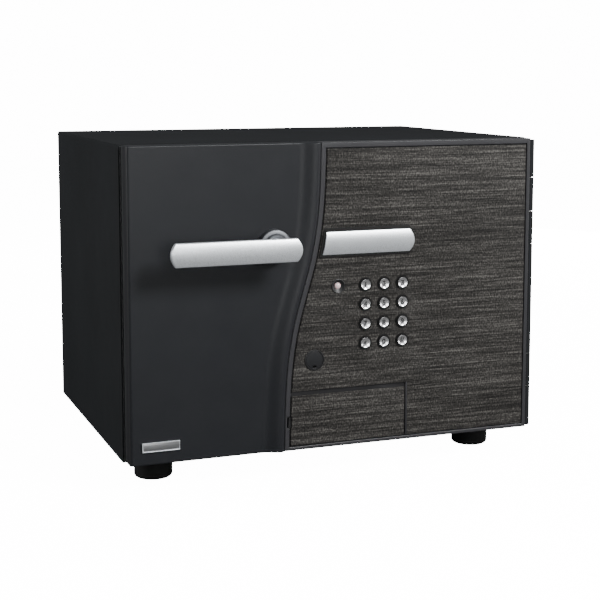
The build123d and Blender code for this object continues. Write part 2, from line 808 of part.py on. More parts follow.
# Bolt carriage: upright flange behind the bolts, and a slotted web for the crank pin
with BuildPart() as bolt_carriage:
    block((flange_x, flange_x + carriage_thickness), (plate_back + 2.0, bolt_y + bolt_radius),
          (bolt_heights[0] - bolt_radius - carriage_edge, web_top))
    block((flange_x, crank_x + 12.0), (web_front, web_back), (web_bottom, web_top))
    with BuildSketch(at_y(web_back)):
        with Locations((crank_x, shaft_z + (crank_radius + crank_offset_z) / 2)):
            SlotCenterToCenter(crank_radius - crank_offset_z + 2 * slot_clearance,
                               2 * (crank_pin_radius + slot_clearance), rotation=90)
    extrude(amount=carriage_thickness, mode=Mode.SUBTRACT)
    for x in (plunger_x, plunger_x + bolt_travel):
        block((x - notch_half, x + notch_half), (web_front, web_back),
              (web_bottom, web_bottom + notch_depth_in_web), Mode.SUBTRACT)
    for z in bolt_heights:
        bar_x(bolt_y, z, (flange_x, flange_x + carriage_thickness), bolt_screw_radius,
              Mode.SUBTRACT)
save(bolt_carriage.part, "bolt_carriage")

# Locking bolts
with BuildPart() as bolts:
    for z in bolt_heights:
        bar_x(bolt_y, z, (bolt_tip, flange_x), bolt_radius)
    chamfer(bolts.edges().filter_by(GeomType.CIRCLE).group_by(Axis.X)[0], bolt_chamfer)
    for z in bolt_heights:
        bar_x(bolt_y, z, (flange_x - bolt_screw_length - 2.0, flange_x), bolt_screw_radius,
              Mode.SUBTRACT)
save(bolts.part, "bolts")

# Hexagon screws that clamp the bolts to the carriage
with BuildPart() as bolt_screws:
    for z in bolt_heights:
        bar_x(bolt_y, z, (flange_x - bolt_screw_length, flange_x + carriage_thickness),
              bolt_screw_radius)
        with BuildSketch(Plane.YZ.offset(flange_x + carriage_thickness)):
            with Locations((bolt_y, z)):
                RegularPolygon(bolt_screw_radius + 2.0, 6, major_radius=False)
        extrude(amount=bolt_screw_head)
save(bolt_screws.part, "bolt_screws")

# Steel plate over the insulation that carries the boltwork
with BuildPart() as boltwork_plate:
    block((plug_left + sheet, plug_right - sheet), (plate_front, plate_back),
          (plug_bottom + sheet, plug_top - sheet))
    bar_y(shaft_x, shaft_z, (plate_front, plate_back), shaft_radius + bushing_wall,
          Mode.SUBTRACT)
    for x, z in screw_spots:
        bar_y(x, z, (plate_back, plug_back), standoff_radius)
        bar_y(x, z, (plate_back, plug_back), screw_radius, Mode.SUBTRACT)
save(boltwork_plate.part, "boltwork_plate")

# Guide blocks for the bolts
with BuildPart() as bolt_guides:
    for z in bolt_heights:
        guide = (plug_left + sheet + 4.0, plug_left + sheet + 18.0)
        block(guide, (plate_back, bolt_y + bolt_radius + guide_cover),
              (z - bolt_radius - carriage_edge, z + bolt_radius + carriage_edge))
        bar_x(bolt_y, z, guide, bolt_radius + running_clearance, Mode.SUBTRACT)
save(bolt_guides.part, "bolt_guides")

plunger_top = web_bottom - plunger_gap
solenoid_top = web_bottom - solenoid_gap
solenoid_low = solenoid_top - solenoid_length
solenoid_x = (plunger_x - solenoid_half_width, plunger_x + solenoid_half_width)
solenoid_back = plunger_y + coil_radius + 1.0

# Solenoid: frame and coil, with a bore for the plunger
with BuildPart() as solenoid:
    for low in (solenoid_top - solenoid_plate, solenoid_low):
        block(solenoid_x, (plate_back, solenoid_back), (low, low + solenoid_plate))
    block(solenoid_x, (plate_back, plate_back + 1.0), (solenoid_low, solenoid_top))
    bar_z(plunger_x, plunger_y,
          (solenoid_low + solenoid_plate, solenoid_top - solenoid_plate), coil_radius)
    bar_z(plunger_x, plunger_y, (plunger_top - plunger_length - 1.0, solenoid_top),
          plunger_radius + running_clearance, Mode.SUBTRACT)
save(solenoid.part, "solenoid")

# Plunger that drops into the carriage's notches
with BuildPart() as solenoid_plunger:
    bar_z(plunger_x, plunger_y, (plunger_top - plunger_length, plunger_top), plunger_radius)
    fillet(solenoid_plunger.edges().filter_by(GeomType.CIRCLE).group_by(Axis.Z)[-1], 0.6)
save(solenoid_plunger.part, "solenoid_plunger")

# ---------------------------------------------------------------- keypad and lamp

inner_face = recess_floor + panel_wall
flange_thickness = 1.0
mat_thickness = 1.4
board_thickness = 1.6
mat_front = inner_face + seat_gap + flange_thickness + key_travel + dome_height + dome_clearance

# Black collars around the keys
with BuildPart() as key_rings:
    with BuildSketch(at_y(recess_floor)):
        with Locations(*key_centres):
            Circle(key_ring_radius)
            Circle(key_radius + key_clearance, mode=Mode.SUBTRACT)
    extrude(amount=recess_depth + collar_proud)
save(key_rings.part, "key_rings")

# Twelve dished keys, each with a flange behind the panel
for name, (x, z) in zip(key_names, key_centres):
    with BuildPart() as button:
        bar_y(x, z, (face - key_proud, inner_face + seat_gap), key_radius)
        bar_y(x, z, (inner_face + seat_gap, inner_face + seat_gap + flange_thickness),
              key_radius + key_flange)
        fillet(button.edges().filter_by(GeomType.CIRCLE).group_by(Axis.Y)[0], 0.5)
        with Locations((x, face - key_proud - dish_radius + dish_depth, z)):
            Sphere(dish_radius, mode=Mode.SUBTRACT)
    save(button.part, f"button_{name}")

# Funnel-shaped lamp surround
with BuildPart() as led_bezel:
    with BuildSketch(at_y(recess_floor)):
        with Locations((lamp_x, lamp_z)):
            Circle(key_ring_radius)
            Circle(lamp_radius, mode=Mode.SUBTRACT)
    extrude(amount=recess_depth + collar_proud)
    chamfer(led_bezel.edges().filter_by(GeomType.CIRCLE).group_by(Axis.Y)[0]
            .sort_by(SortBy.LENGTH)[0], recess_depth + collar_proud - 0.7)
save(led_bezel.part, "led_bezel")

# Lamp lens with a stem down to the circuit board
with BuildPart() as led_lens:
    bar_y(lamp_x, lamp_z, (recess_floor, mat_front + mat_thickness), lamp_radius)
    with Locations((lamp_x, recess_floor, lamp_z)):
        Sphere(lamp_radius)
    block((lamp_x - key_radius, lamp_x + key_radius),
          (recess_floor - lamp_dome, mat_front + mat_thickness),
          (lamp_z - key_radius, lamp_z + key_radius), Mode.INTERSECT)
save(led_lens.part, "led_lens")

board_left = lamp_x - board_left_margin
board_right = key_columns[2] + board_margin
board_top = key_rows[0] + board_margin
board_bottom = key_rows[3] - board_margin

# Rubber mat with a dome under each key
with BuildPart() as key_mat:
    block((key_columns[0] - mat_margin, key_columns[2] + mat_margin),
          (mat_front, mat_front + mat_thickness),
          (key_rows[3] - mat_margin, key_rows[0] + mat_margin))
    for x, z in key_centres:
        bar_y(x, z, (mat_front - dome_height, mat_front), 3.0)
save(key_mat.part, "key_mat")

# Circuit board, with four pillars that meet the control panel's face
with BuildPart() as circuit_board:
    block((board_left, board_right), (mat_front + mat_thickness,
          mat_front + mat_thickness + board_thickness), (board_bottom, board_top))
    for x in (board_left + pillar_inset, board_right - pillar_inset):
        for z in (board_bottom + pillar_inset, board_top - pillar_inset):
            bar_y(x, z, (inner_face, mat_front + mat_thickness), pillar_radius)
    block((board_left + 6.0, board_left + 16.0),
          (mat_front + mat_thickness + board_thickness, panel_back - 1.0),
          (board_bottom + 8.0, board_bottom + 20.0))
save(circuit_board.part, "circuit_board")

# ---------------------------------------------------------------- key lock

cap_face = face + cap_sink
plug_front = cap_face + cap_skirt + 0.6

# Lock body: ring at the front, tube and rear seat
with BuildPart() as lock_housing:
    bar_y(cap_x, cap_z, (face - cap_sink, recess_floor), cap_ring_radius)
    bar_y(cap_x, cap_z, (recess_floor, panel_back), lock_tube_radius)
    bar_y(cap_x, cap_z, (face - cap_sink, cap_face + cap_skirt + 0.4),
          cap_radius + key_clearance, Mode.SUBTRACT)
    bar_y(cap_x, cap_z, (cap_face, panel_back), lock_plug_radius + running_clearance,
          Mode.SUBTRACT)
save(lock_housing.part, "lock_housing")

# Turning lock plug with its keyway
with BuildPart() as lock_plug:
    bar_y(cap_x, cap_z, (plug_front, panel_back - seat_gap), lock_plug_radius)
    block((cap_x - keyway_width / 2, cap_x + keyway_width / 2),
          (plug_front, plug_front + keyway_depth),
          (cap_z - keyway_height / 2, cap_z + keyway_height / 2), Mode.SUBTRACT)
save(lock_plug.part, "lock_plug")

# Pull-off cap over the keyway, with a fingernail notch
with BuildPart() as key_cap:
    bar_y(cap_x, cap_z, (cap_face, cap_face + cap_skirt), cap_radius)
    bar_y(cap_x, cap_z, (cap_face + cap_thickness, cap_face + cap_skirt),
          cap_radius - cap_wall, Mode.SUBTRACT)
    with BuildSketch(at_y(cap_face)):
        with Locations((cap_x, cap_z - cap_radius + 2.6)):
            SlotOverall(5.0, 2.0)
    extrude(amount=-1.6, mode=Mode.SUBTRACT)
save(key_cap.part, "key_cap")

# ---------------------------------------------------------------- battery bay

# Battery door: wood-grain plate on two pivot pins, with a finger notch at its free edge
with BuildPart() as battery_door:
    with BuildSketch(at_y(wood_face + battery_door_thickness)):
        with BuildLine():
            flow_outline(battery_left_gap, pivot_x, battery_bottom, battery_door_top)
        make_face()
        with Locations((edge_x(base + notch_rise) + battery_left_gap, base + notch_rise)):
            Rectangle(2 * notch_depth, notch_height, mode=Mode.SUBTRACT)
    extrude(amount=battery_door_thickness)
    bar_z(pivot_x, pivot_y, (battery_bottom, battery_door_top), battery_door_thickness / 2)
    bar_z(pivot_x, pivot_y,
          (battery_bottom - pivot_pin_length, battery_door_top + pivot_pin_length),
          pivot_pin_radius)
save(battery_door.part, "battery_door")

holder_bottom = battery_bottom + bay_rise + 1.0
cell_gap = 1.0
cell_pitch = 2 * battery_radius + cell_gap
cell_rows = [holder_bottom + holder_rim + battery_radius + cell_pitch * i for i in range(2)]
cell_y = panel_back - holder_floor - battery_radius
cell_columns = [case_left + 4.0, case_left + 8.0 + battery_length]
contact = 0.3
cell_clearance = 0.2
holder_front = panel_back - 12.0

# Battery holder, seated on the slab's skin
with BuildPart() as battery_holder:
    block((case_left + 0.5, cell_columns[1] + battery_length + 5.5),
          (holder_front, panel_back),
          (holder_bottom, cell_rows[1] + battery_radius + holder_head))
    for x in cell_columns:
        for z in cell_rows:
            cell = (x - contact, x + battery_length + contact)
            bar_x(cell_y, z, cell, battery_radius + cell_clearance, Mode.SUBTRACT)
            block(cell, (holder_front, cell_y),
                  (z - battery_radius - cell_clearance, z + battery_radius + cell_clearance),
                  Mode.SUBTRACT)
save(battery_holder.part, "battery_holder")

# Four cells, each with its raised end cap
with BuildPart() as batteries:
    for x in cell_columns:
        for z in cell_rows:
            cap_start = x + battery_length - 1.5
            bar_x(cell_y, z, (x, cap_start), battery_radius)
            bar_x(cell_y, z, (cap_start, x + battery_length), 2.7)
save(batteries.part, "batteries")

# Contact plates at the ends of the cells
with BuildPart() as battery_contacts:
    for x in cell_columns:
        for z in cell_rows:
            for side in (x - contact, x + battery_length):
                block((side, side + contact), (cell_y - 4.0, cell_y + 4.0),
                      (z - 4.0, z + 4.0))
save(battery_contacts.part, "battery_contacts")
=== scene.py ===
"""Looks of the keypad fire safe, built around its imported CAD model. Metres, door facing -Y."""

import json
import math

import bmesh
import bpy
from mathutils import Euler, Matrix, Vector


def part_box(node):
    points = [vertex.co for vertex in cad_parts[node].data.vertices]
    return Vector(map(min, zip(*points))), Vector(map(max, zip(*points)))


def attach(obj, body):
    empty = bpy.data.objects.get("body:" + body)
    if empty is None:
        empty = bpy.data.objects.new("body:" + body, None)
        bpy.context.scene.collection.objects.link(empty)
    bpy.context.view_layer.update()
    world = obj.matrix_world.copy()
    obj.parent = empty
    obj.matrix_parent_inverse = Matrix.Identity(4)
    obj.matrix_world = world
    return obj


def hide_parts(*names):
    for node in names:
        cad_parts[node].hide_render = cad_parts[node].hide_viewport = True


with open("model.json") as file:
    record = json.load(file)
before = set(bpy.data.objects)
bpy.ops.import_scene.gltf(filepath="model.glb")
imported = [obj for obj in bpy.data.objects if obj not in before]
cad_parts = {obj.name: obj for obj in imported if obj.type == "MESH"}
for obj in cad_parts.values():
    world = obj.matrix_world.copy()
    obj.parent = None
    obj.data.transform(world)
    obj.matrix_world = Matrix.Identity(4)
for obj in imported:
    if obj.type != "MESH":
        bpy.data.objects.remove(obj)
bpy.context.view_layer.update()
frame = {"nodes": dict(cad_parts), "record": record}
MM = 0.001

# ---------------------------------------------------------------- places taken from the frame

wrap_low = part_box("outer_wrap")[0]
control_low, control_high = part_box("control_panel")
handle_low, handle_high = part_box("handle_panel")
lever_low, lever_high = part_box("lever")
rosette_low, rosette_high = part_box("rosette")
trim_low, trim_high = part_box("grip_trim")
wood_low, wood_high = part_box("wood_inlay")
lid_low, lid_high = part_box("battery_door")

left, base = wrap_low.x, wrap_low.z
face, panel_back = control_low.y, control_high.y
door_right, door_bottom, door_top = control_high.x, control_low.z, control_high.z
wood_face, recess_floor = wood_low.y, wood_high.y
shaft_x = (rosette_low.x + rosette_high.x) / 2
shaft_z = (rosette_low.z + rosette_high.z) / 2

# ---------------------------------------------------------------- sizes that pieces share

PANEL_SETBACK = 1.8 * MM                            # handle panel's middle behind the frame's face
EDGE_LEFT, EDGE_DRIFT = 172.6 * MM, 43.7 * MM       # flowing edge: start and sideways travel
EDGE_MIDDLE, EDGE_SOFTNESS = 178 * MM, 37 * MM      # flowing edge: height and reach of its bend
FRAME_SIDE, FRAME_TOP, FRAME_BOTTOM = 4.4 * MM, 6.0 * MM, 5.2 * MM
FRAME_STRIP, FRAME_GROOVE = 7.0 * MM, 1.2 * MM
SHEET_INSET = 7.8 * MM                              # wood and battery door from the flowing edge
NOTCH_DEPTH = 2.6 * MM                              # finger notch beside the battery door
KEY_HOLE, KEY_COLLAR = 6.95 * MM, 8.0 * MM          # radii, as are the next three lines
LENS_HOLE, LAMP_RADIUS = 3.7 * MM, 8.0 * MM
LOCK_KEYWAY, LOCK_TUBE, LOCK_RING = 6.1 * MM, 11.0 * MM, 11.7 * MM
SHEET_KEY_HOLE, SHEET_LOCK_HOLE = 8.05 * MM, 11.8 * MM

notch_low, notch_high = base + 27.5 * MM, base + 41 * MM


def edge_x(z):
    """The flowing edge between the two moulded panels: x at height z."""
    step = 1 / (1 + math.exp(-(z - base - EDGE_MIDDLE) / EDGE_SOFTNESS))
    return left + EDGE_LEFT + EDGE_DRIFT * step


# ---------------------------------------------------------------- camera, light and floor

def make_stage():
    """Camera at the photo's angle, white backdrop, soft studio lights and a white floor."""
    camera = bpy.data.objects.new("camera", bpy.data.cameras.new("camera"))
    bpy.context.scene.collection.objects.link(camera)
    downward, sideways = 0.1168, 0.3601
    camera.location = (-0.55726, -1.50973, 0.44813)
    camera.rotation_euler = Euler((math.pi / 2 - downward, 0, -sideways))
    camera.data.lens = 80.68
    camera.data.shift_y = -0.12
    bpy.context.scene.camera = camera

    world = bpy.data.worlds.new("studio")
    world.use_nodes = True
    nodes, links = world.node_tree.nodes, world.node_tree.links
    seen_by_camera = nodes.new("ShaderNodeLightPath").outputs["Is Camera Ray"]
    backdrop = nodes.new("ShaderNodeBackground")
    backdrop.inputs["Color"].default_value = (1.0, 1.0, 1.0, 1)
    backdrop.inputs["Strength"].default_value = 15.0
    room = nodes["Background"]
    room.inputs["Color"].default_value = (0.95, 0.97, 1.0, 1)
    room.inputs["Strength"].default_value = 0.2
    mixed = nodes.new("ShaderNodeMixShader")
    links.new(seen_by_camera, mixed.inputs[0])
    links.new(room.outputs[0], mixed.inputs[1])
    links.new(backdrop.outputs[0], mixed.inputs[2])
    links.new(mixed.outputs[0], nodes["World Output"].inputs["Surface"])
    bpy.context.scene.world = world

    def area(name, place, aim, size, power):
        light = bpy.data.objects.new(name, bpy.data.lights.new(name, "AREA"))
        light.data.shape = "RECTANGLE"
        light.data.size, light.data.size_y = size
        light.data.energy = power
        light.location = place
        light.visible_camera = False
        towards = Vector(aim) - Vector(place)
        light.rotation_euler = towards.to_track_quat("-Z", "Y").to_euler()
        bpy.context.scene.collection.objects.link(light)

    middle = (0.0, -0.1, 0.2)
    area("key", (1.25, -2.3, 1.9), middle, (0.8, 0.8), 122)
    area("overhead", (0.0, -0.7, 2.0), middle, (1.4, 0.8), 5)
    area("front_glow", (-0.25, -2.0, 0.6), middle, (0.7, 0.7), 11)
    area("side_fill", (-1.9, 0.4, 0.7), (-0.2, 0.1, 0.2), (0.8, 0.8), 24)
    area("rim", (2.2, -1.3, 0.35), middle, (0.6, 0.6), 10)
    area("back_fill", (1.1, 2.0, 0.2), (0, 0.2, 0.2), (0.8, 0.28), 34)

    half = 6.0
    mesh = bpy.data.meshes.new("floor")
    mesh.from_pydata([(-half, -half, 0), (half, -half, 0), (half, half, 0), (-half, half, 0)],
                     [], [(0, 1, 2, 3)])
    floor = bpy.data.objects.new("floor", mesh)
    bpy.context.scene.collection.objects.link(floor)
    floor.data.materials.append(floor_paper())


def floor_paper():
    """White paper: bright where the camera sees it, a dim bounce on the object."""
    g = Graph("floor_paper")
    tint = g.ramp(g.noise((2, 2, 2), 2), (0.3, (0.85, 0.85, 0.85)), (0.7, (0.87, 0.87, 0.87)))
    g.link(tint, "Base Color")
    g.link(tint, "Emission Color")
    g.set(Roughness=0.9, Emission_Strength=17.0)
    dim = g.nodes.new("ShaderNodeBsdfDiffuse")
    dim.inputs["Color"].default_value = (0.12, 0.12, 0.12, 1)
    mixed = g.nodes.new("ShaderNodeMixShader")
    g.links.new(g.nodes.new("ShaderNodeLightPath").outputs["Is Camera Ray"], mixed.inputs[0])
    g.links.new(dim.outputs[0], mixed.inputs[1])
    g.links.new(g.shader.outputs[0], mixed.inputs[2])
    g.links.new(mixed.outputs[0], g.nodes["Material Output"].inputs["Surface"])
    return g.material


# ---------------------------------------------------------------- materials

class Graph:
    """A material's node graph with short helpers."""

    def __init__(self, name):
        self.material = bpy.data.materials.new(name)
        self.material.use_nodes = True
        self.nodes = self.material.node_tree.nodes
        self.links = self.material.node_tree.links
        self.shader = self.nodes["Principled BSDF"]
        self.place = self.nodes.new("ShaderNodeTexCoord").outputs["Object"]

    def set(self, **values):
        for key, value in values.items():
            self.shader.inputs[key.replace("_", " ")].default_value = value

    def link(self, output, socket):
        self.links.new(output, self.shader.inputs[socket])

    def stretched(self, scale):
        """The object's coordinates times a scale on each axis."""
        node = self.nodes.new("ShaderNodeMapping")
        node.inputs["Scale"].default_value = scale
        self.links.new(self.place, node.inputs["Vector"])
        return node.outputs["Vector"]

    def noise(self, scale, detail, rough=0.5, distortion=0.0):
        """Noise of 0..1 with its own scale on each axis."""
        node = self.nodes.new("ShaderNodeTexNoise")
        node.inputs["Scale"].default_value = 1.0
        node.inputs["Detail"].default_value = detail
        node.inputs["Roughness"].default_value = rough
        node.inputs["Distortion"].default_value = distortion
        self.links.new(self.stretched(scale), node.inputs["Vector"])
        return node.outputs["Fac"]

    def ramp(self, value, *stops):
        """Colour ramp over (position, colour) stops."""
        node = self.nodes.new("ShaderNodeValToRGB")
        while len(node.color_ramp.elements) < len(stops):
            node.color_ramp.elements.new(0.5)
        for element, (position, colour) in zip(node.color_ramp.elements, stops):
            element.position = position
            element.color = (*colour, 1)
        self.links.new(value, node.inputs["Fac"])
        return node.outputs["Color"]

    def scale_value(self, value, low, high):
        """Maps 0..1 onto low..high."""
        node = self.nodes.new("ShaderNodeMapRange")
        node.inputs["To Min"].default_value = low
        node.inputs["To Max"].default_value = high
        self.links.new(value, node.inputs["Value"])
        return node.outputs["Result"]

    def maths(self, kind, a, b):
        """Math node over two outputs or numbers."""
        node = self.nodes.new("ShaderNodeMath")
        node.operation = kind
        for socket, value in zip(node.inputs, (a, b)):
            if isinstance(value, (int, float)):
                socket.default_value = value
            else:
                self.links.new(value, socket)
        return node.outputs[0]

    def bump(self, height, distance, strength=1.0):
        node = self.nodes.new("ShaderNodeBump")
        node.inputs["Distance"].default_value = distance
        node.inputs["Strength"].default_value = strength
        self.links.new(height, node.inputs["Height"])
        self.links.new(node.outputs["Normal"], self.shader.inputs["Normal"])


def shade(colour, factor):
    """The colour, darker or lighter by a factor."""
    return tuple(c * factor for c in colour)


def painted(name, colour, roughness, peel=0.05, spread=0.12, specular=0.5):
    """Powder-coated or moulded surface: slight mottling and a fine orange peel."""
    g = Graph(name)
    mottle = g.noise((9, 9, 9), 4)
    dark, light = shade(colour, 1 - spread), shade(colour, 1 + spread)
    g.link(g.ramp(mottle, (0.3, dark), (0.7, light)), "Base Color")
    smudges = g.noise((35, 35, 35), 3)
    g.link(g.scale_value(smudges, roughness - 0.05, roughness + 0.05), "Roughness")
    g.set(Specular_IOR_Level=specular)
    if peel:
        g.bump(g.noise((1500, 1500, 1500), 2), peel * MM)
    return g.material


def metal(name, colour, roughness, grain=(40, 1200, 1200), depth=0.01):
    """Metal with a fine grain that runs along the axis of the smallest scale."""
    spread = 0.06
    g = Graph(name)
    fine = g.noise(grain, 4, 0.6)
    dark, light = shade(colour, 1 - spread), shade(colour, 1 + spread)
    g.link(g.ramp(fine, (0.25, dark), (0.75, light)), "Base Color")
    g.set(Metallic=1.0)
    g.link(g.scale_value(fine, roughness - spread, roughness + spread), "Roughness")
    g.bump(fine, depth * MM)
    return g.material


def blasted_aluminium(name, colour, roughness):
    """Satin aluminium with a fine blasted speckle."""
    g = Graph(name)
    speckle = g.noise((1250, 1250, 1250), 3, 0.7)
    g.link(g.ramp(speckle, (0.34, shade(colour, 0.66)), (0.60, colour)), "Base Color")
    g.set(Metallic=0.75)
    smudges = g.noise((60, 60, 60), 2)
    g.link(g.scale_value(smudges, roughness - 0.04, roughness + 0.04), "Roughness")
    g.bump(speckle, 0.012 * MM)
    return g.material


def wood_grain(name):
    """Charcoal-brown sheet with fine horizontal streaks over a woven grain."""
    g = Graph(name)
    dark = (0.0090, 0.0087, 0.0083)
    middle = (0.034, 0.0322, 0.0298)
    light = (0.132, 0.126, 0.117)
    layers = (  # scale on each axis, detail, roughness, distortion, share, centred on zero
        ((4, 4, 130), 4, 0.6, 0.2, 0.10, False),        # broad bands
        ((8, 8, 430), 5, 0.7, 0.0, 0.52, False),        # streaks
        ((30, 30, 1050), 3, 0.6, 0.0, 0.38, False),     # fibres
        ((640, 640, 420), 2, 0.5, 0.0, 0.44, True),     # weave
        ((10, 10, 14), 3, 0.5, 0.0, 0.08, True))        # clouds
    grain = None
    for scale, detail, rough, distortion, share, centred in layers:
        layer = g.noise(scale, detail, rough, distortion)
        if centred:
            layer = g.maths("SUBTRACT", layer, 0.5)
        layer = g.maths("MULTIPLY", layer, share)
        grain = layer if grain is None else g.maths("ADD", grain, layer)
    g.link(g.ramp(grain, (0.38, dark), (0.52, middle), (0.70, light)), "Base Color")
    g.link(g.scale_value(grain, 0.7, 0.5), "Roughness")
    g.set(Specular_IOR_Level=0.12)
    g.bump(grain, 0.2 * MM, 0.9)
    return g.material


def lamp_glass(name):
    """Milky pink lamp lens."""
    g = Graph(name)
    milk = g.noise((400, 400, 400), 2)
    g.link(g.ramp(milk, (0.3, (0.62, 0.42, 0.43)), (0.7, (0.82, 0.66, 0.66))), "Base Color")
    g.set(Roughness=0.12, Coat_Weight=0.6, Subsurface_Weight=0.2)
    g.shader.inputs["Subsurface Radius"].default_value = (0.001, 0.0006, 0.0006)
    return g.material


materials = {
    "cabinet_paint": painted("cabinet_paint", (0.0122, 0.0136, 0.0150), 0.74, specular=0.12),
    "inner_paint": painted("inner_paint", (0.035, 0.038, 0.040), 0.5),
    "insulation": painted("insulation", (0.42, 0.41, 0.38), 0.9, peel=0.4, spread=0.2),
    "rubber": painted("rubber", (0.006, 0.006, 0.006), 0.65, peel=0.08, specular=0.25),
    "zinc_steel": metal("zinc_steel", (0.50, 0.50, 0.48), 0.38),
    "bright_steel": metal("bright_steel", (0.66, 0.66, 0.66), 0.2),
    "grey_plastic": painted("grey_plastic", (0.060, 0.064, 0.068), 0.55),
    "handle_panel_paint": painted("handle_panel_paint", (0.0112, 0.0122, 0.0146), 0.42, peel=0.02,
                                  spread=0.03, specular=0.30),
    "bezel_plastic": painted("bezel_plastic", (0.027, 0.027, 0.030), 0.38, peel=0.02,
                             spread=0.05),
    "wood_grain": wood_grain("wood_grain"),
    "satin_aluminium": blasted_aluminium("satin_aluminium", (0.91, 0.95, 0.985), 0.34),
    "bronze": metal("bronze", (0.45, 0.30, 0.13), 0.35),
    "black_plastic": painted("black_plastic", (0.006, 0.006, 0.0065), 0.42, peel=0.03),
    "lens": lamp_glass("lens"),
    "circuit_green": painted("circuit_green", (0.010, 0.075, 0.025), 0.3),
    "battery_wrap": painted("battery_wrap", (0.03, 0.03, 0.035), 0.3),
    "key_chrome": metal("key_chrome", (0.92, 0.92, 0.93), 0.24, grain=(300, 300, 300),
                        depth=0.002),
}

# Finishes of single pieces that differ from their slot's own, and a darker copy of the bezel
# plastic that paints shade into the control panel's recesses.
rosette_metal = metal("rosette_metal", (0.150, 0.157, 0.168), 0.5, grain=(900, 900, 900))
badge_metal = metal("badge_metal", (0.54, 0.55, 0.56), 0.3)
ink = painted("ink", (0.010, 0.010, 0.011), 0.5)
# Painted shade: the control floor is darker than the frame's own plastic, for the dark band above
# the battery lid and the other gaps.
recess_plastic_painted_shade = painted("recess_plastic_painted_shade", (0.012, 0.012, 0.013), 0.55, specular=0.3)
cap_paint = painted("cap_paint", (0.013, 0.0135, 0.015), 0.4, peel=0.03, specular=0.35)


# ---------------------------------------------------------------- mesh helpers

def finished(name, mesh, slot, body, replaced=(), material=None, smooth=32):
    """Links a mesh as a piece that rides on a body and stands for CAD nodes."""
    mesh.shade_smooth()
    mesh.set_sharp_from_angle(angle=math.radians(smooth))
    piece = bpy.data.objects.new(name, mesh)
    bpy.context.scene.collection.objects.link(piece)
    mesh.materials.clear()
    mesh.materials.append(material or materials[slot])
    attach(piece, body)
    if replaced:
        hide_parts(*replaced)
    return piece


def soften(piece, width, segments=3):
    """Rounds the piece's sharp edges."""
    bevel = piece.modifiers.new("soft_edges", "BEVEL")
    bevel.width = width
    bevel.segments = segments
    bevel.limit_method = "ANGLE"
    bevel.angle_limit = math.radians(30)
    bevel.harden_normals = True


def evaluated_mesh(curve):
    """The mesh that Blender makes of a curve or a text."""
    holder = bpy.data.objects.new(curve.name, curve)
    bpy.context.scene.collection.objects.link(holder)
    mesh = bpy.data.meshes.new_from_object(
        holder.evaluated_get(bpy.context.evaluated_depsgraph_get()))
    bpy.data.objects.remove(holder)
    return mesh


def outward_mesh(work, mesh):
    """Writes the work into the mesh, its faces turned outwards."""
    bmesh.ops.recalc_face_normals(work, faces=work.faces)
    work.to_mesh(mesh)
    work.free()
    return mesh


def plate_mesh(outlines, y_back, y_front, bevel, steps=2):
    """Upright flat plate with holes: the first (x, z) outline is outer, the rest are holes."""
    curve = bpy.data.curves.new("outline", "CURVE")
    curve.dimensions = "2D"
    curve.fill_mode = "BOTH"
    curve.extrude = (y_back - y_front) / 2 - bevel
    curve.bevel_depth = bevel
    curve.bevel_resolution = steps
    curve.offset = -bevel
    for outline in outlines:
        spline = curve.splines.new("POLY")
        spline.points.add(len(outline) - 1)
        for point, (x, z) in zip(spline.points, outline):
            point.co = (x, z, 0, 1)
        spline.use_cyclic_u = True
    mesh = evaluated_mesh(curve)
    middle = (y_back + y_front) / 2
    for vertex in mesh.vertices:
        x, z, depth = vertex.co
        vertex.co = (x, middle - depth, z)
    work = bmesh.new()
    work.from_mesh(mesh)
    bmesh.ops.remove_doubles(work, verts=work.verts, dist=1e-6)
    return outward_mesh(work, mesh)


def lathe_mesh(centres, profile, segments=96, closed=False):
    """Turns a profile of (radius, y) points about the Y direction at each (x, z) centre."""
    work = bmesh.new()
    for cx, cz in centres:
        loops = []
        for radius, y in profile:
            if radius == 0:
                loops.append([work.verts.new((cx, y, cz))])
            else:
                loops.append([work.verts.new((x, y, z))
                              for x, z in circle(cx, cz, radius, segments)])
        pairs = list(zip(loops, loops[1:])) + ([(loops[-1], loops[0])] if closed else [])
        for a, b in pairs:
            for i in range(segments):
                j = (i + 1) % segments
                corners = [a[i % len(a)], a[j % len(a)], b[j % len(b)], b[i % len(b)]]
                unique = list(dict.fromkeys(corners))
                if len(unique) > 2:
                    work.faces.new(unique)
    return outward_mesh(work, bpy.data.meshes.new("lathe"))


def grid_solid(columns, rows, spot, y_back):
    """Closed solid: a front grid of spot(u, v) points, straight sides and a flat back."""
    work = bmesh.new()
    grid = [[work.verts.new(spot(i / columns, j / rows)) for i in range(columns + 1)]
            for j in range(rows + 1)]
    for j in range(rows):
        for i in range(columns):
            work.faces.new((grid[j][i], grid[j][i + 1], grid[j + 1][i + 1], grid[j + 1][i]))
    rim = (grid[0] + [row[-1] for row in grid[1:]] + grid[-1][-2::-1]
           + [row[0] for row in grid[-2:0:-1]])
    back = [work.verts.new((v.co.x, y_back, v.co.z)) for v in rim]
    for i in range(len(rim)):
        j = (i + 1) % len(rim)
        work.faces.new((rim[i], rim[j], back[j], back[i]))
    work.faces.new(back)
    return outward_mesh(work, bpy.data.meshes.new("grid"))


def circle(x, z, radius, count=64):
    """Points of a circle in the upright plane."""
    return [(x + radius * math.cos(2 * math.pi * i / count),
             z + radius * math.sin(2 * math.pi * i / count)) for i in range(count)]


def rectangle(x_low, x_high, z_low, z_high):
    """Corners of an upright rectangle."""
    return [(x_low, z_low), (x_high, z_low), (x_high, z_high), (x_low, z_high)]


def spread_out(start, end, count):
    """Evenly spaced numbers from start to end, count steps apart."""
    return [start + (end - start) * i / count for i in range(count + 1)]


def flow_outline(offset, x_end, z_low, z_high, count=60):
    """Outline bounded on the left by the flowing edge moved right by offset."""
    heights = spread_out(z_low, z_high, count)
    return [(edge_x(z) + offset, z) for z in heights] + [(x_end, z_high), (x_end, z_low)]


# ---------------------------------------------------------------- pieces

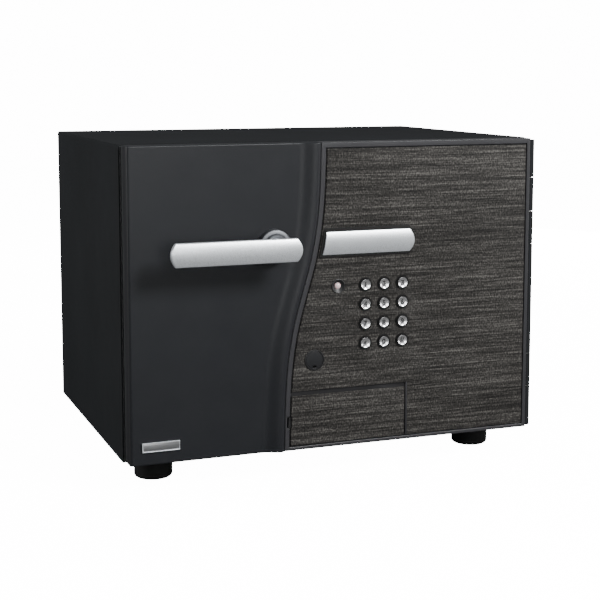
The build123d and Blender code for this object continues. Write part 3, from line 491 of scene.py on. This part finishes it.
def make_handle_panel():
    """Panel that falls back towards a rolled ridge along its flowing edge."""
    x_low, crest = handle_low.x, handle_low.y
    z_low, z_high = handle_low.z, handle_high.z
    hollow = 0.6 * MM
    ridge_width, round_left, round_top, roll = 24 * MM, 3 * MM, 1.5 * MM, 4 * MM

    def quarter(distance, radius):
        """How far a rounded edge falls back at that distance from it."""
        if distance >= radius:
            return 0.0
        return radius - math.sqrt(max(radius ** 2 - (radius - distance) ** 2, 0))

    def eased(u, share):
        """Packs grid lines towards both ends."""
        return u - share * math.sin(2 * math.pi * u) / (2 * math.pi)

    def spot(u, v):
        u, v = eased(u, 0.85), eased(v, 0.9)
        z = z_low + (z_high - z_low) * v
        edge = edge_x(z)
        x = x_low + (edge - x_low) * u
        share = (x - x_low) / (edge - ridge_width - x_low)
        y = face + PANEL_SETBACK + hollow * (2 * min(share, 1) - 1)
        run = (x - (edge - ridge_width)) / (ridge_width - roll)
        if run > 0:
            climb = min(run, 1)
            y += (crest - y) * (climb * climb * (3 - 2 * climb))
        y += quarter(edge - x, roll)
        y += quarter(x - x_low, round_left)
        y += quarter(z - z_low, round_top) + quarter(z_high - z, round_top)
        return x, y, z

    mesh = grid_solid(90, 110, spot, panel_back)
    finished("handle_panel_shell", mesh, "handle_panel_paint", "door", ["handle_panel"], smooth=40)


def make_control_panel():
    """Framed panel: outer frame with a rounded lip, and the floor that carries the wood sheet."""
    opening_left = FRAME_STRIP - FRAME_GROOVE           # from the flowing edge
    opening_right = door_right - FRAME_SIDE
    opening_low, opening_high = door_bottom + FRAME_BOTTOM - FRAME_GROOVE, door_top - FRAME_TOP
    outer = flow_outline(0.6 * MM, door_right, door_bottom, door_top)
    inner = [(x - (NOTCH_DEPTH if notch_low < z < notch_high else 0), z)
             for x, z in flow_outline(opening_left, opening_right, opening_low, opening_high,
                                      300)]
    frame_mesh = plate_mesh([outer, inner], panel_back, face, 0.8 * MM, 4)
    finished("control_frame", frame_mesh, "bezel_plastic", "door", ["control_panel"])

    # Black rubber plate at the back of the frame's finger notch: painted shade for the depth of
    # the notch.
    shade_left, shade_right = opening_left - NOTCH_DEPTH - 0.6 * MM, FRAME_STRIP + 2 * MM
    pocket = [(edge_x(z) + offset, z) for z, offset in (
        (notch_low, shade_left), (notch_low, shade_right),
        (notch_high, shade_right), (notch_high, shade_left))]
    notch_shade_mesh = plate_mesh([pocket], panel_back, panel_back - 1 * MM, 0.05 * MM, 1)
    finished("finger_notch_painted_shade", notch_shade_mesh, "rubber", "door")

    lap = 0.3 * MM
    floor_line = flow_outline(opening_left - lap, opening_right + lap,
                              opening_low - lap, opening_high + lap)
    holes = [circle(x, z, KEY_HOLE) for x, z in key_centres()]
    holes.append(circle(*centre_of("led_lens"), LENS_HOLE))
    holes.append(circle(*centre_of("lock_housing"), LOCK_TUBE))
    low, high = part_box("battery_holder")
    holes.append(rectangle(low.x + 0.5 * MM, high.x - 2 * MM,
                           low.z + 1 * MM, lid_high.z - 4 * MM))
    floor_mesh = plate_mesh([floor_line] + holes, recess_floor + 2.5 * MM,
                            recess_floor + 0.02 * MM, 0.1 * MM, 1)
    # The floor takes the darker plastic: painted shade in the recesses around the wood sheet.
    finished("control_floor", floor_mesh, "bezel_plastic", "door", material=recess_plastic_painted_shade)


def centre_of(node):
    """Middle of a node's box: x and z."""
    low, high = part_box(node)
    return (low.x + high.x) / 2, (low.z + high.z) / 2


KEYS = ("1", "2", "3", "4", "5", "6", "7", "8", "9", "star", "0", "hash")


def key_centres():
    return [centre_of("button_" + key) for key in KEYS]


def make_wood_sheet():
    """Wood-grain sheet, cut out around the battery bay, the keys, the lamp and the key lock."""
    bay_right, bay_top, bead_width = lid_high.x + 3.1 * MM, lid_high.z + 3.2 * MM, 1.7 * MM
    line = flow_outline(SHEET_INSET, wood_high.x, wood_low.z, wood_high.z)
    outline = [(edge_x(bay_top) + SHEET_INSET, bay_top)]
    outline += [(x, z) for x, z in line[:-1] if z > bay_top]
    outline += [(wood_high.x, wood_low.z), (bay_right, wood_low.z), (bay_right, bay_top)]
    holes = [circle(x, z, SHEET_KEY_HOLE) for x, z in key_centres() + [centre_of("led_bezel")]]
    holes.append(circle(*centre_of("lock_housing"), SHEET_LOCK_HOLE))
    mesh = plate_mesh([outline] + holes, recess_floor, wood_face, 0.15 * MM, 2)
    finished("wood_sheet", mesh, "wood_grain", "door", ["wood_inlay"])
    bead = [(bay_right, wood_low.z), (bay_right, bay_top), (bay_right - bead_width, bay_top),
            (bay_right - bead_width, wood_low.z)]
    finished("bay_bead", plate_mesh([bead], recess_floor, wood_face + 0.2 * MM, 0.3 * MM),
             "bezel_plastic", "door")


def make_battery_lid():
    """Battery door: wood-grain plate with a finger notch, between its pivot pins."""
    pins, notch = 2.0 * MM, 0.8 * MM
    line = flow_outline(SHEET_INSET, lid_high.x - 0.5 * MM, lid_low.z + pins, lid_high.z - pins,
                        80)
    outline = [(x + (notch if notch_low < z < notch_high else 0), z) for x, z in line]
    mesh = plate_mesh([outline], lid_high.y, lid_low.y, 0.25 * MM, 2)
    finished("battery_lid", mesh, "wood_grain", "battery_door", ["battery_door"])


def bar_spot(x_left, x_right, low, high, y_front, crown):
    """Point function of a crowned bar whose ends are curves x_left(z) and x_right(z)."""
    middle, half = (low.z + high.z) / 2, (high.z - low.z) / 2

    def spot(u, v):
        t = 2 * v - 1
        z = middle + half * t
        x = x_left(z) + (x_right(z) - x_left(z)) * u
        return x, y_front + crown * t * t, z
    return spot


def make_lever():
    """Crowned bar with bowed ends on a turned neck."""
    bulge, half = 5.0 * MM, (lever_high.z - lever_low.z) / 2
    thickness, crown = 4.4 * MM, 2.6 * MM
    back = lever_low.y + crown + thickness

    def bow(z):
        """How far each end draws in at height z."""
        return bulge * ((z - shaft_z) / half) ** 2

    spot = bar_spot(lambda z: lever_low.x + bow(z), lambda z: lever_high.x - bow(z),
                    lever_low, lever_high, lever_low.y, crown)
    bar = finished("lever_bar", grid_solid(48, 24, spot, back), "satin_aluminium", "lever",
                   ["lever"], smooth=50)
    soften(bar, 1.1 * MM)
    neck = lathe_mesh([(shaft_x, shaft_z)], [
        (0, back - 1 * MM), (9.2 * MM, back - 1 * MM), (9.0 * MM, back + 0.6 * MM),
        (8.3 * MM, back + 1.6 * MM), (8.0 * MM, back + 3 * MM), (8.0 * MM, lever_high.y),
        (0, lever_high.y)])
    finished("lever_neck", neck, "satin_aluminium", "lever")


def make_rosette():
    """Stepped rosette: base ring, groove and raised collar."""
    back, front_y = rosette_high.y, rosette_low.y
    radius, bore = (rosette_high.x - rosette_low.x) / 2, 8.08 * MM
    profile = [(bore, back), (radius, back), (radius, front_y + 4.6 * MM),
               (radius - 0.5 * MM, front_y + 3.7 * MM), (radius - 1.4 * MM, front_y + 3.2 * MM),
               (radius - 4.2 * MM, front_y + 2.9 * MM), (radius - 4.6 * MM, front_y + 3.3 * MM),
               (radius - 5.0 * MM, front_y + 2.9 * MM), (radius - 5.2 * MM, front_y + 0.8 * MM),
               (radius - 5.9 * MM, front_y + 0.1 * MM), (bore + 1.2 * MM, front_y),
               (bore, front_y + 0.6 * MM)]
    mesh = lathe_mesh([(shaft_x, shaft_z)], profile, closed=True)
    finished("rosette_ring", mesh, "satin_aluminium", "door", ["rosette"], rosette_metal)


def make_grip_trim():
    """Crowned trim whose left end follows the flowing edge, on a black seat that reaches out past
    it, widest above: partly a real seat, partly painted shade around the trim.
    """
    half = (trim_high.z - trim_low.z) / 2
    bulge, offset, crown = 5.0 * MM, 12.0 * MM, 2.3 * MM

    spot = bar_spot(lambda z: edge_x(z) + offset,
                    lambda z: trim_high.x - bulge * ((z - shaft_z) / half) ** 2,
                    trim_low, trim_high, trim_low.y, crown)
    bar = finished("grip_trim_bar", grid_solid(40, 24, spot, wood_face - 1.0 * MM),
                   "satin_aluminium", "door", ["grip_trim"], smooth=50)
    soften(bar, 0.4 * MM)

    # The black seat's margins, the top one widest, paint the shadow and dark halo around the trim.
    margin, margin_right, thickness, steps = 3.0 * MM, 0.6 * MM, 1.2 * MM, 16
    seat_and_shade_top, seat_and_shade_low = trim_high.z + 4.0 * MM, trim_low.z - margin
    left_line = [(edge_x(z) + offset - margin, z)
                 for z in spread_out(seat_and_shade_low, seat_and_shade_top, steps)]
    right_line = [(trim_high.x + margin_right
                   - bulge * ((z - shaft_z) / (half + margin)) ** 2, z)
                  for z in spread_out(seat_and_shade_top, seat_and_shade_low, steps)]
    seat_and_shade_mesh = plate_mesh([left_line + right_line], wood_face, wood_face - thickness, 0.4 * MM)
    finished("grip_trim_seat_and_shade", seat_and_shade_mesh, "rubber", "door")


def symbol_mesh(body, x, z, surface_y):
    """A flat digit or sign laid on a curved face: surface_y(dx, dz) is the face's y there."""
    proud = 0.02 * MM
    text = bpy.data.curves.new("symbol", "FONT")
    text.body = body
    text.size = 8.0 * MM
    text.align_x, text.align_y = "CENTER", "CENTER"
    text.extrude = 0.05 * MM
    text.offset = 0.20 * MM
    mesh = evaluated_mesh(text)
    xs = [v.co.x for v in mesh.vertices]
    ys = [v.co.y for v in mesh.vertices]
    mid_x, mid_y = (min(xs) + max(xs)) / 2, (min(ys) + max(ys)) / 2
    for v in mesh.vertices:
        dx, dz, depth = v.co.x - mid_x, v.co.y - mid_y, v.co.z
        v.co = (x + dx, surface_y(dx, dz) - depth - proud, z + dz)
    return mesh


def make_keys():
    """Bright dished key faces with dark symbols, in black bodies and black collars."""
    radius, rim, dish, proud = 6.7 * MM, 5.4 * MM, 13 * MM, 1.5 * MM
    flange, flange_radius, steps = 1.0 * MM, 8.3 * MM, 10
    rim_y = face - proud
    seat_y = rim_y + 1.7 * MM
    back_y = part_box("button_1")[1].y
    centre_y = rim_y - math.sqrt(dish ** 2 - rim ** 2)

    def dish_y(dx, dz):
        return centre_y + math.sqrt(dish ** 2 - dx ** 2 - dz ** 2)

    face_profile = [(rim * i / steps, dish_y(rim * i / steps, 0)) for i in range(steps + 1)]
    face_profile += [(rim + 0.15 * MM, rim_y), (rim + 0.3 * MM, rim_y + 0.15 * MM),
                     (rim + 0.3 * MM, seat_y), (0, seat_y)]
    body_profile = [(0, seat_y), (rim + 0.35 * MM, seat_y), (rim + 0.35 * MM, rim_y + 0.3 * MM),
                    (rim + 0.8 * MM, rim_y + 0.3 * MM), (radius - 0.2 * MM, rim_y + 0.55 * MM),
                    (radius, rim_y + 1.0 * MM), (radius, back_y - flange),
                    (flange_radius, back_y - flange), (flange_radius, back_y), (0, back_y)]
    signs = {"star": "*", "hash": "#"}
    for key in KEYS:
        button = "button_" + key
        x, z = centre_of(button)
        finished(f"key_face_{key}", lathe_mesh([(x, z)], face_profile, 64), "key_chrome",
                 button, [button])
        finished(f"key_body_{key}", lathe_mesh([(x, z)], body_profile, 64), "black_plastic",
                 button, material=materials["rubber"])
        finished(f"key_symbol_{key}", symbol_mesh(signs.get(key, key), x, z, dish_y),
                 "black_plastic", button, material=ink)

    front_y = face - 0.4 * MM
    collar = [(KEY_HOLE, recess_floor), (KEY_COLLAR, recess_floor),
              (KEY_COLLAR, front_y + 0.5 * MM), (7.8 * MM, front_y + 0.1 * MM),
              (7.5 * MM, front_y), (7.15 * MM, front_y + 0.1 * MM), (KEY_HOLE, front_y + 0.6 * MM)]
    mesh = lathe_mesh(key_centres(), collar, 64, closed=True)
    finished("key_collars", mesh, "black_plastic", "door", ["key_rings"], materials["rubber"])


def make_lamp():
    """Funnel-shaped surround and its domed lens."""
    x, z = centre_of("led_bezel")
    low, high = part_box("led_bezel")
    profile = [(LENS_HOLE, high.y), (LAMP_RADIUS, high.y), (LAMP_RADIUS, low.y + 0.4 * MM),
               (7.7 * MM, low.y + 0.1 * MM), (7.3 * MM, low.y), (6.9 * MM, low.y + 0.2 * MM),
               (4.3 * MM, low.y + 2.2 * MM), (LENS_HOLE, low.y + 2.4 * MM)]
    mesh = lathe_mesh([(x, z)], profile, 64, closed=True)
    finished("lamp_surround", mesh, "black_plastic", "door", ["led_bezel"])

    low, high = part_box("led_lens")
    radius, dome, steps = (high.x - low.x) / 2, 2.2 * MM, 8
    profile = [(radius * math.sin(math.pi / 2 * i / steps),
                low.y + dome - dome * math.cos(math.pi / 2 * i / steps))
               for i in range(steps + 1)]
    profile += [(radius, high.y), (0, high.y)]
    finished("lamp_lens", lathe_mesh([(x, z)], profile, 48), "lens", "door", ["led_lens"])


def make_key_lock():
    """Ring and tube of the key lock, and its cap with a fingernail notch."""
    x, z = centre_of("lock_housing")
    low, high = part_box("lock_housing")
    bore, inner_floor = 10.0 * MM, low.y + 6.4 * MM
    profile = [(LOCK_KEYWAY, high.y), (LOCK_TUBE, high.y), (LOCK_TUBE, recess_floor),
               (LOCK_RING, recess_floor), (LOCK_RING, low.y + 0.5 * MM),
               (LOCK_RING - 0.2 * MM, low.y + 0.15 * MM), (LOCK_RING - 0.6 * MM, low.y),
               (bore + 0.3 * MM, low.y + 0.1 * MM), (bore, low.y + 0.5 * MM),
               (bore, inner_floor), (LOCK_KEYWAY, inner_floor)]
    mesh = lathe_mesh([(x, z)], profile, closed=True)
    finished("lock_ring", mesh, "black_plastic", "door", ["lock_housing"])

    low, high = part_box("key_cap")
    radius, plate_back = 9.9 * MM, low.y + 1.6 * MM
    notch_z, notch_half, notch_radius = z - 7.3 * MM, 1.4 * MM, 1.3 * MM
    notch = [(x + notch_half * end + notch_radius * math.cos(angle),
              notch_z + notch_radius * math.sin(angle))
             for end, start in ((1, -math.pi / 2), (-1, math.pi / 2))
             for angle in [start + math.pi * i / 12 for i in range(13)]]
    top = plate_mesh([circle(x, z, radius, 96), notch], plate_back, low.y, 0.35 * MM, 3)
    finished("key_cap_face", top, "black_plastic", "key_cap", ["key_cap"], cap_paint)
    web, web_thickness = (low.y + high.y) / 2, 0.8 * MM
    outer, inner = radius - 0.1 * MM, radius - 1.6 * MM
    skirt = [(0, web), (radius - 1.0 * MM, web), (radius - 1.0 * MM, plate_back),
             (outer, plate_back), (outer, high.y), (inner, high.y),
             (inner, web + web_thickness), (0, web + web_thickness)]
    finished("key_cap_skirt", lathe_mesh([(x, z)], skirt), "rubber", "key_cap")


def make_nameplate():
    """Blank badge: bright rim around a brushed face."""
    low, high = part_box("nameplate")

    def inset(margin):
        return rectangle(low.x + margin, high.x - margin, low.z + margin, high.z - margin)

    rim = plate_mesh([inset(0), inset(1.0 * MM)], high.y, low.y, 0.25 * MM, 3)
    finished("nameplate_rim", rim, "satin_aluminium", "door", ["nameplate"])
    core = plate_mesh([inset(0.9 * MM)], high.y, low.y + 0.45 * MM, 0.1 * MM, 1)
    finished("nameplate_face", core, "satin_aluminium", "door", material=badge_metal)


def make_feet():
    """Rubber feet: tapered, with rounded soles, a moulding line and a screw recess."""
    low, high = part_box("feet")
    inset = top_radius = 22 * MM
    bottom_radius, rounding, steps = 21.4 * MM, 4 * MM, 8
    recess_radius, recess_top, screw_radius = 6 * MM, 14 * MM, 2 * MM
    centres = [(x, y) for x in (low.x + inset, high.x - inset)
               for y in (low.y + inset, high.y - inset)]
    profile = [(recess_radius, 0), (bottom_radius - rounding, 0)]
    profile += [(bottom_radius - rounding + rounding * math.sin(math.pi / 2 * i / steps),
                 rounding - rounding * math.cos(math.pi / 2 * i / steps))
                for i in range(1, steps + 1)]
    profile += [(top_radius - 0.5 * MM, high.z - 4 * MM),
                (top_radius - 0.9 * MM, high.z - 3.4 * MM),
                (top_radius - 0.3 * MM, high.z - 2.8 * MM), (top_radius, high.z),
                (screw_radius, high.z), (screw_radius, recess_top), (recess_radius, recess_top)]
    mesh = lathe_mesh(centres, profile, 72, closed=True)
    for vertex in mesh.vertices:                        # the lathe turns about y: stand them up
        x, y, z = vertex.co
        vertex.co = (x, z, y)
    mesh.flip_normals()
    finished("rubber_feet", mesh, "rubber", "cabinet", ["feet"])


def dress_cad_nodes():
    """Gives the shown CAD nodes their materials and softens their folded edges."""
    slots = {part["node"]: part["material_slot"] for part in frame["record"]["subparts"]}
    soft = {"outer_wrap": 1.0, "back_panel": 0.4, "door_skin": 0.8, "door_box": 0.6,
            "front_frame": 0.5, "door_inner_panel": 0.8, "tray": 0.5, "cabinet_hinges": 0.4,
            "door_hinge_strip": 0.4, "inner_liner": 0.6}
    for name, node in frame["nodes"].items():
        node.data.materials.clear()
        node.data.materials.append(materials[slots[name]])
        if name in soft:
            soften(node, soft[name] * MM, 2)


make_stage()
dress_cad_nodes()
make_handle_panel()
make_control_panel()
make_wood_sheet()
make_battery_lid()
make_lever()
make_rosette()
make_grip_trim()
make_keys()
make_lamp()
make_key_lock()
make_nameplate()
make_feet()
